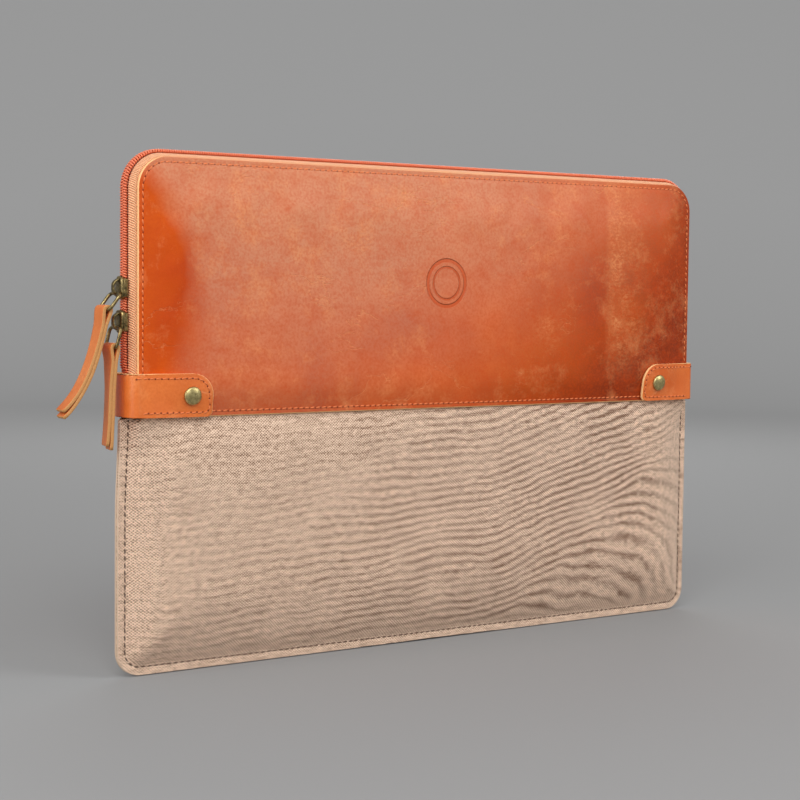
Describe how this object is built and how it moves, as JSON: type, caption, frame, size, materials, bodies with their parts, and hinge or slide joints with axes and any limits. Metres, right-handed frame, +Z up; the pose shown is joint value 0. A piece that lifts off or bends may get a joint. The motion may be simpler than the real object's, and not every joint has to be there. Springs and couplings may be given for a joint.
{
  "type": "laptop sleeve",
  "caption": "Padded sleeve for a laptop: leather upper half, canvas lower half, a two-way coil zip round the top, riveted side tabs and leather zip pulls.",
  "frame": {"origin": "middle of the bottom seam, half way through the thickness", "axes": "+Z up towards the zipped edge, +X to the right when the front is seen, the front face looks along -Y"},
  "size_m": [0.3957, 0.0296, 0.2522],
  "materials": {
    "cognac_leather": "waxed pull-up leather, semi-matt, rubbed lighter in places",
    "pull_leather": "folded leather, semi-matt, raw light tan edges",
    "beige_canvas": "matt woven canvas",
    "foam_padding": "matt closed-cell foam",
    "lining_fabric": "matt woven lining",
    "zip_tape_fabric": "matt ribbed tape",
    "zip_coil_nylon": "satin nylon coil",
    "antique_brass": "aged satin",
    "leather_thread": "waxed thread",
    "canvas_thread": "waxed thread"
  },
  "bodies": {
    "sleeve": {"back_leather_panel": "cognac_leather", "front_leather_hem": "cognac_leather", "front_canvas_panel": "beige_canvas", "back_canvas_panel": "beige_canvas", "front_lower_foam": "foam_padding", "back_foam": "foam_padding", "front_lower_lining": "lining_fabric", "back_lining": "lining_fabric", "back_zip_tape": "zip_tape_fabric", "back_zip_coil": "zip_coil_nylon", "front_tape_ends": "zip_tape_fabric", "front_coil_ends": "zip_coil_nylon", "zip_end_stops": "antique_brass", "left_tab": "cognac_leather", "right_tab": "cognac_leather", "rivet_caps": "antique_brass", "rivet_posts": "antique_brass", "rivet_inner_caps": "antique_brass", "hem_thread": "leather_thread", "back_panel_thread": "leather_thread", "tab_thread": "leather_thread", "canvas_seam_thread": "canvas_thread"},
    "front_flap": {"front_leather_panel": "cognac_leather", "front_upper_foam": "foam_padding", "front_upper_lining": "lining_fabric", "front_zip_tape": "zip_tape_fabric", "front_zip_coil": "zip_coil_nylon", "front_panel_thread": "leather_thread"},
    "upper_slider": {"upper_slider_body": "antique_brass", "upper_slider_crown": "antique_brass"},
    "upper_ring": {"upper_pull_ring": "antique_brass"},
    "upper_pull": {"upper_pull_strap": "pull_leather"},
    "lower_slider": {"lower_slider_body": "antique_brass", "lower_slider_crown": "antique_brass"},
    "lower_ring": {"lower_pull_ring": "antique_brass"},
    "lower_pull": {"lower_pull_strap": "pull_leather"}
  },
  "joints": [
    {"name": "mouth_open", "type": "hinge", "parent": "sleeve", "child": "front_flap", "pos_m": [0, -0.011, 0.147], "axis": [1, 0, 0], "range_deg": [0, 25]},
    {"name": "upper_slider_travel", "type": "slide", "parent": "sleeve", "child": "upper_slider", "axis": [0, 0, 1], "range_m": [-0.001, 0.042]},
    {"name": "upper_ring_swing", "type": "hinge", "parent": "upper_slider", "child": "upper_ring", "pos_m": [-0.1831, 0, 0.1833], "axis": [0, 1, 0], "range_deg": [0, 90]},
    {"name": "upper_pull_swing", "type": "hinge", "parent": "upper_ring", "child": "upper_pull", "pos_m": [-0.18926, 0, 0.17542], "axis": [0, 1, 0], "range_deg": [0, 40]},
    {"name": "lower_slider_travel", "type": "slide", "parent": "sleeve", "child": "lower_slider", "axis": [0, 0, 1], "range_m": [-0.018, 0]},
    {"name": "lower_ring_swing", "type": "hinge", "parent": "lower_slider", "child": "lower_ring", "pos_m": [-0.1831, 0, 0.1673], "axis": [0, 1, 0], "range_deg": [-1, 8]},
    {"name": "lower_pull_swing", "type": "hinge", "parent": "lower_ring", "child": "lower_pull", "pos_m": [-0.18552, 0, 0.1576], "axis": [0, 1, 0], "range_deg": [0, 12]}
  ]
}
